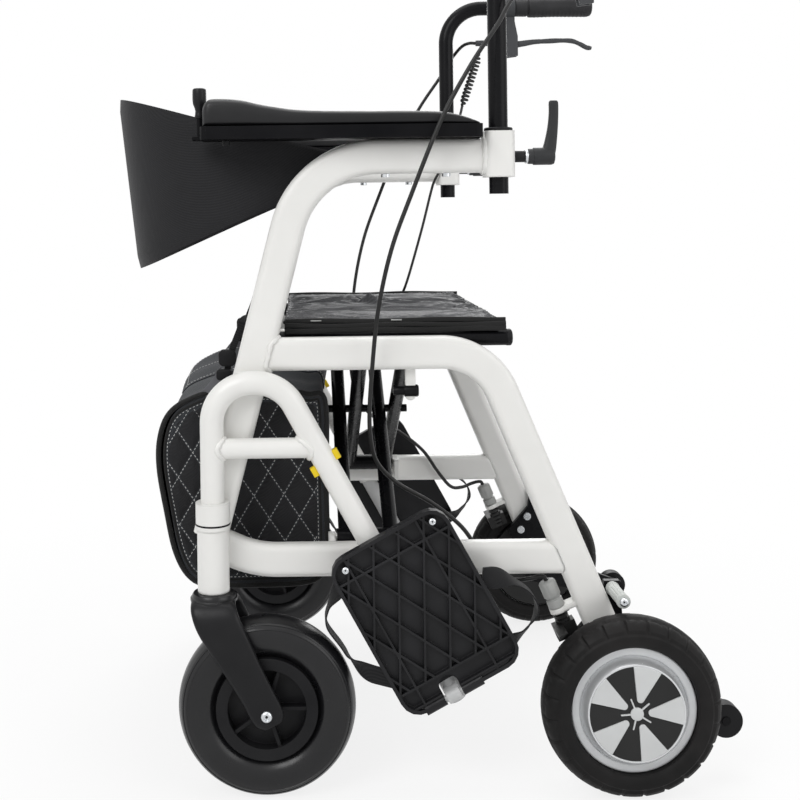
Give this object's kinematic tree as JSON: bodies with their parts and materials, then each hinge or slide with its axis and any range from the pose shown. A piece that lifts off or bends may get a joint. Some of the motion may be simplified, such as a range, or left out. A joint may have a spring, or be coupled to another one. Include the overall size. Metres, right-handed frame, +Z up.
{
  "type": "rollator transport chair",
  "caption": "Folding walking frame and transport chair with hub-motor rear wheels, swivel casters, armrests, seat, backrest band, bag and flip-up foot plates.",
  "frame": {"origin": "on the floor, under the middle of the chair's outline", "axes": "+Z up, casters lead towards -X, +Y is the right-hand side of a person walking behind it"},
  "size_m": [0.7355, 0.608, 0.982],
  "materials": {
    "white_paint": "satin powder coat",
    "black_paint": "satin powder coat",
    "grey_paint": "satin",
    "black_plastic": "fine moulded texture",
    "dark_plastic": "fine moulded texture",
    "grey_plastic": "satin",
    "pad_foam": "soft integral foam skin",
    "grip_rubber": "matte",
    "cable_rubber": "matte",
    "tyre_rubber": "matte",
    "motor_black": "satin",
    "alloy": "polished",
    "steel": "zinc plated",
    "seat_fabric": "coated woven cloth",
    "bag_fabric": "quilted cloth",
    "webbing": "woven webbing"
  },
  "bodies": {
    "left_frame": {"left_side_bow": "white_paint", "left_seat_rail": "white_paint", "left_lower_rail": "white_paint", "left_caster_arch": "white_paint", "left_armrest_base": "black_plastic", "left_armrest_pad": "pad_foam", "left_hub_motor": "motor_black", "left_axle_bracket": "black_paint", "left_step_peg": "grey_plastic", "left_brake_barrel": "grey_plastic", "left_foot_hanger": "grey_paint", "left_brake_cable": "cable_rubber", "left_fasteners": "steel", "storage_bag": "bag_fabric"},
    "right_frame": {"right_side_bow": "white_paint", "right_seat_rail": "white_paint", "right_lower_rail": "white_paint", "right_caster_arch": "white_paint", "right_armrest_base": "black_plastic", "right_armrest_pad": "pad_foam", "right_hub_motor": "motor_black", "right_axle_bracket": "black_paint", "right_step_peg": "grey_plastic", "right_brake_barrel": "grey_plastic", "right_foot_hanger": "grey_paint", "right_brake_cable": "cable_rubber", "right_fasteners": "steel", "control_cord": "cable_rubber"},
    "left_handle": {"left_handle_post": "black_paint", "left_handle_grip": "grip_rubber", "left_brake_bracket": "dark_plastic"},
    "left_brake_lever": {"left_brake_lever": "dark_plastic"},
    "left_clamp_lever": {"left_clamp_lever": "black_plastic"},
    "left_caster_fork": {"left_caster_fork": "black_plastic"},
    "left_caster_wheel": {"left_caster_hub": "black_plastic", "left_caster_tyre": "tyre_rubber"},
    "left_rear_wheel": {"left_rear_rim": "alloy", "left_rear_tyre": "tyre_rubber"},
    "left_anti_tip_roller": {"left_anti_tip_roller": "black_plastic"},
    "left_brake_plunger": {"left_brake_plunger": "cable_rubber"},
    "left_foot_plate": {"left_foot_plate": "black_plastic", "left_heel_strap": "webbing"},
    "right_handle": {"right_handle_post": "black_paint", "right_handle_grip": "grip_rubber", "right_brake_bracket": "dark_plastic"},
    "right_brake_lever": {"right_brake_lever": "dark_plastic"},
    "right_clamp_lever": {"right_clamp_lever": "black_plastic"},
    "right_caster_fork": {"right_caster_fork": "black_plastic"},
    "right_caster_wheel": {"right_caster_hub": "black_plastic", "right_caster_tyre": "tyre_rubber"},
    "right_rear_wheel": {"right_rear_rim": "alloy", "right_rear_tyre": "tyre_rubber"},
    "right_anti_tip_roller": {"right_anti_tip_roller": "black_plastic"},
    "right_brake_plunger": {"right_brake_plunger": "cable_rubber"},
    "right_foot_plate": {"right_foot_plate": "black_plastic", "right_heel_strap": "webbing"},
    "left_brace": {"left_brace": "black_paint"},
    "right_brace": {"right_brace": "black_paint"},
    "seat": {"seat_cushion": "seat_fabric"},
    "backrest": {"backrest_band": "seat_fabric"}
  },
  "joints": [
    {"name": "fold", "type": "hinge", "parent": "left_frame", "child": "left_brace", "pos_m": [-0.05, -0.206, 0.27], "axis": [1, 0, 0], "range_deg": [0, 31], "deforming": ["seat_cushion", "storage_bag", "backrest_band"]},
    {"name": "brace_cross", "type": "hinge", "parent": "left_brace", "child": "right_brace", "pos_m": [-0.05, 0, 0.387], "axis": [1, 0, 0], "range_deg": [-62, 0]},
    {"name": "right_frame_fold", "type": "hinge", "parent": "right_brace", "child": "right_frame", "pos_m": [-0.028, 0.206, 0.27], "axis": [1, 0, 0], "range_deg": [0, 31]},
    {"name": "seat_level", "type": "hinge", "parent": "left_brace", "child": "seat", "pos_m": [-0.02, 0.206, 0.504], "axis": [1, 0, 0], "range_deg": [-31, 0]},
    {"name": "backrest_flip", "type": "hinge", "parent": "left_frame", "child": "backrest", "pos_m": [-0.066, -0.206, 0.709], "axis": [0, 1, 0], "range_deg": [0, 180]},
    {"name": "left_handle_slide", "type": "slide", "parent": "left_frame", "child": "left_handle", "axis": [0, 0, 1], "range_m": [-0.1, 0], "deforming": ["left_brake_cable"]},
    {"name": "left_clamp_turn", "type": "hinge", "parent": "left_frame", "child": "left_clamp_lever", "pos_m": [0.15, -0.235, 0.715], "axis": [1, 0, 0], "range_deg": [-90, 90]},
    {"name": "left_brake_squeeze", "type": "hinge", "parent": "left_handle", "child": "left_brake_lever", "pos_m": [0.206, -0.235, 0.906], "axis": [0, -1, 0], "range_deg": [0, 16], "stiffness_Nm_per_rad": 0.1, "springref_deg": -28.65},
    {"name": "left_brake_plunge", "type": "slide", "parent": "left_frame", "child": "left_brake_plunger", "axis": [0.3811, 0, -0.9245], "range_m": [0, 0.003], "stiffness_N_per_m": 20, "springref_m": -0.004},
    {"name": "left_caster_swivel", "type": "hinge", "parent": "left_frame", "child": "left_caster_fork", "pos_m": [-0.229, -0.2613, 0.25], "axis": [0, 0, 1], "continuous": true},
    {"name": "left_caster_roll", "type": "hinge", "parent": "left_caster_fork", "child": "left_caster_wheel", "pos_m": [-0.17, -0.2613, 0.1], "axis": [0, 1, 0], "continuous": true},
    {"name": "left_rear_roll", "type": "hinge", "parent": "left_frame", "child": "left_rear_wheel", "pos_m": [0.236, -0.277, 0.1], "axis": [0, 1, 0], "continuous": true},
    {"name": "left_roller_spin", "type": "hinge", "parent": "left_frame", "child": "left_anti_tip_roller", "pos_m": [0.352, -0.243, 0.068], "axis": [0, 1, 0], "continuous": true},
    {"name": "left_foot_fold", "type": "hinge", "parent": "left_frame", "child": "left_foot_plate", "pos_m": [0.03834, -0.2833, 0.116], "axis": [0.878, 0, 0.4787], "range_deg": [0, 90]},
    {"name": "right_handle_slide", "type": "slide", "parent": "right_frame", "child": "right_handle", "axis": [0, 0, 1], "range_m": [-0.1, 0], "deforming": ["right_brake_cable", "control_cord"]},
    {"name": "right_clamp_turn", "type": "hinge", "parent": "right_frame", "child": "right_clamp_lever", "pos_m": [0.15, 0.235, 0.715], "axis": [1, 0, 0], "range_deg": [-90, 90]},
    {"name": "right_brake_squeeze", "type": "hinge", "parent": "right_handle", "child": "right_brake_lever", "pos_m": [0.206, 0.235, 0.906], "axis": [0, -1, 0], "range_deg": [0, 16], "stiffness_Nm_per_rad": 0.1, "springref_deg": -28.65},
    {"name": "right_brake_plunge", "type": "slide", "parent": "right_frame", "child": "right_brake_plunger", "axis": [0.3811, 0, -0.9245], "range_m": [0, 0.003], "stiffness_N_per_m": 20, "springref_m": -0.004},
    {"name": "right_caster_swivel", "type": "hinge", "parent": "right_frame", "child": "right_caster_fork", "pos_m": [-0.229, 0.2613, 0.25], "axis": [0, 0, 1], "continuous": true},
    {"name": "right_caster_roll", "type": "hinge", "parent": "right_caster_fork", "child": "right_caster_wheel", "pos_m": [-0.17, 0.2613, 0.1], "axis": [0, 1, 0], "continuous": true},
    {"name": "right_rear_roll", "type": "hinge", "parent": "right_frame", "child": "right_rear_wheel", "pos_m": [0.236, 0.277, 0.1], "axis": [0, 1, 0], "continuous": true},
    {"name": "right_roller_spin", "type": "hinge", "parent": "right_frame", "child": "right_anti_tip_roller", "pos_m": [0.352, 0.243, 0.068], "axis": [0, 1, 0], "continuous": true},
    {"name": "right_foot_fold", "type": "hinge", "parent": "right_frame", "child": "right_foot_plate", "pos_m": [0.03834, 0.2833, 0.116], "axis": [-0.878, 0, -0.4787], "range_deg": [0, 90]}
  ],
  "couplings": [
    {"joint": "brace_cross", "follows": "fold", "ratio": -2},
    {"joint": "right_frame_fold", "follows": "fold", "ratio": 1},
    {"joint": "seat_level", "follows": "fold", "ratio": -1},
    {"joint": "left_brake_plunge", "follows": "left_brake_squeeze", "m_per_rad": 0.0107},
    {"joint": "right_brake_plunge", "follows": "right_brake_squeeze", "m_per_rad": 0.0107}
  ]
}
